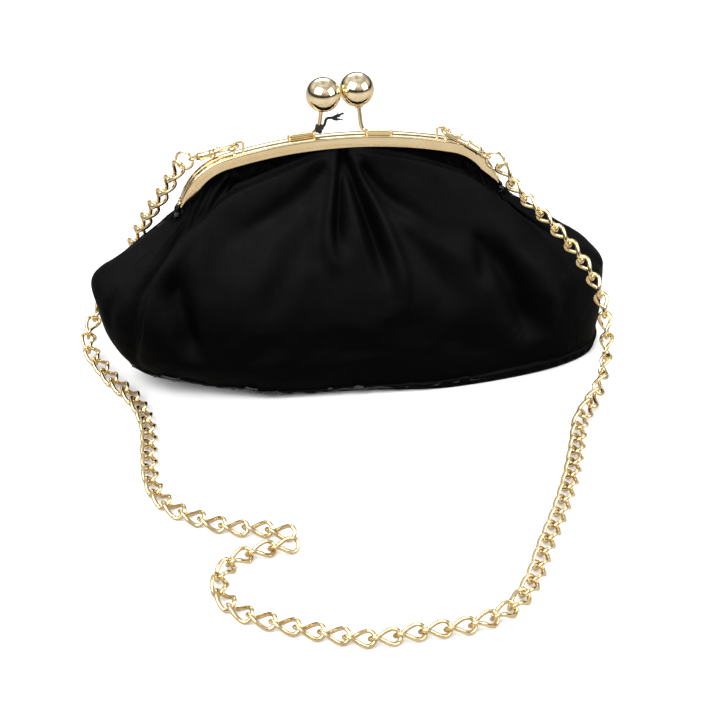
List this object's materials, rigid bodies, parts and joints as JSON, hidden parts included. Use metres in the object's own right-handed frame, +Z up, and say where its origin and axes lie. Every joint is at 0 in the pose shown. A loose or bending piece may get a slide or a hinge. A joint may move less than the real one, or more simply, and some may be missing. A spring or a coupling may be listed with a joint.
{
  "type": "kiss-lock clutch purse",
  "caption": "Soft gathered clutch purse with a hinged metal kiss-lock frame, ball clasp, snap hooks and a detachable curb chain strap.",
  "frame": {"origin": "floor under the middle of the frame, on the hinge line's plane", "axes": "+Z up, the gathered front faces -Y, +X to the right seen from the front"},
  "size_m": [0.3425, 0.3662, 0.1987],
  "materials": {
    "gold": "polished",
    "pale_gold": "polished",
    "steel": "plain",
    "black_cloth": "soft satin",
    "lining_cloth": "satin",
    "board": "stiff board",
    "cord": "twisted paper cord",
    "string": "waxed cord"
  },
  "bodies": {
    "bag": {"front_frame": "gold", "front_cord": "cord", "left_rivet": "pale_gold", "right_rivet": "pale_gold", "front_bar": "pale_gold", "front_post": "pale_gold", "front_ball": "pale_gold", "left_loop": "pale_gold", "right_loop": "pale_gold", "front_panel": "black_cloth", "rear_lower_panel": "black_cloth", "left_gusset": "black_cloth", "right_gusset": "black_cloth", "base_panel": "black_cloth", "base_board": "board", "front_lining": "lining_cloth", "rear_lower_lining": "lining_cloth", "left_lining": "lining_cloth", "right_lining": "lining_cloth", "base_lining": "lining_cloth"},
    "rear_half": {"rear_frame": "gold", "rear_cord": "cord", "rear_bar": "pale_gold", "rear_post": "pale_gold", "rear_ball": "pale_gold", "tag_string": "string", "rear_upper_panel": "black_cloth", "rear_upper_lining": "lining_cloth"},
    "right_hook": {"right_hook": "pale_gold", "right_spring": "steel"},
    "right_bolt": {"right_bolt": "pale_gold"},
    "right_swivel": {"right_swivel": "pale_gold"},
    "right_ring": {"right_ring": "pale_gold"},
    "right_drop": {"right_drop_links": "pale_gold"},
    "front_run": {"front_run_links": "pale_gold"},
    "bend_run": {"bend_run_links": "pale_gold"},
    "left_hook": {"left_hook": "pale_gold", "left_spring": "steel"},
    "left_bolt": {"left_bolt": "pale_gold"},
    "left_swivel": {"left_swivel": "pale_gold"},
    "left_ring": {"left_ring": "pale_gold"},
    "left_drop": {"left_drop_links": "pale_gold"},
    "left_run": {"left_run_links": "pale_gold"}
  },
  "joints": [
    {"name": "purse_opening", "type": "hinge", "parent": "bag", "child": "rear_half", "pos_m": [0, 0, 0.121], "axis": [-1, 0, 0], "range_deg": [0, 55]},
    {"name": "right_hook_swing", "type": "hinge", "parent": "bag", "child": "right_hook", "pos_m": [0.06715, -0.00255, 0.1576], "axis": [-1, 0, 0], "range_deg": [0, 25]},
    {"name": "right_trigger_slide", "type": "slide", "parent": "right_hook", "child": "right_bolt", "axis": [0.8043, -0.3804, -0.4565], "range_m": [0, 0.0026]},
    {"name": "right_swivel_turn", "type": "hinge", "parent": "right_hook", "child": "right_swivel", "pos_m": [0.08324, -0.01016, 0.14847], "axis": [0.8043, -0.3804, -0.4565], "range_deg": [-12, 12]},
    {"name": "right_ring_swing", "type": "hinge", "parent": "right_swivel", "child": "right_ring", "pos_m": [0.09055, -0.01362, 0.14432], "axis": [0.4276, 0.904, 0], "range_deg": [-8, 8]},
    {"name": "right_strap_lift", "type": "hinge", "parent": "right_hook", "child": "right_drop", "pos_m": [0.09842, -0.01743, 0.13761], "axis": [-1, 0, 0], "range_deg": [0, 15]},
    {"name": "front_run_lift", "type": "hinge", "parent": "right_drop", "child": "front_run", "pos_m": [0.14931, -0.08298, 0.009], "axis": [-0.8352, 0.5499, 0], "range_deg": [0, 10]},
    {"name": "bend_run_lift", "type": "hinge", "parent": "front_run", "child": "bend_run", "pos_m": [0.0416, -0.28369, 0.00447], "axis": [-0.6179, 0.7862, 0], "range_deg": [0, 14]},
    {"name": "left_hook_swing", "type": "hinge", "parent": "bag", "child": "left_hook", "pos_m": [-0.06715, -0.00255, 0.1576], "axis": [0, 0, -1], "range_deg": [0, 5]},
    {"name": "left_trigger_slide", "type": "slide", "parent": "left_hook", "child": "left_bolt", "axis": [-0.8218, 0.4387, -0.3637], "range_m": [0, 0.0026]},
    {"name": "left_swivel_turn", "type": "hinge", "parent": "left_hook", "child": "left_swivel", "pos_m": [-0.08359, 0.00622, 0.15033], "axis": [-0.8218, 0.4387, -0.3637], "range_deg": [-12, 12]},
    {"name": "left_ring_swing", "type": "hinge", "parent": "left_swivel", "child": "left_ring", "pos_m": [-0.09106, 0.01022, 0.14702], "axis": [-0.4709, -0.8822, 0], "range_deg": [-8, 8]},
    {"name": "left_strap_swing", "type": "hinge", "parent": "left_hook", "child": "left_drop", "pos_m": [-0.09848, 0.01447, 0.14048], "axis": [0, 0, -1], "range_deg": [0, 4]},
    {"name": "left_run_swing", "type": "hinge", "parent": "left_drop", "child": "left_run", "pos_m": [-0.1564, 0.05281, 0.01851], "axis": [0, 0, -1], "range_deg": [0, 5]}
  ]
}
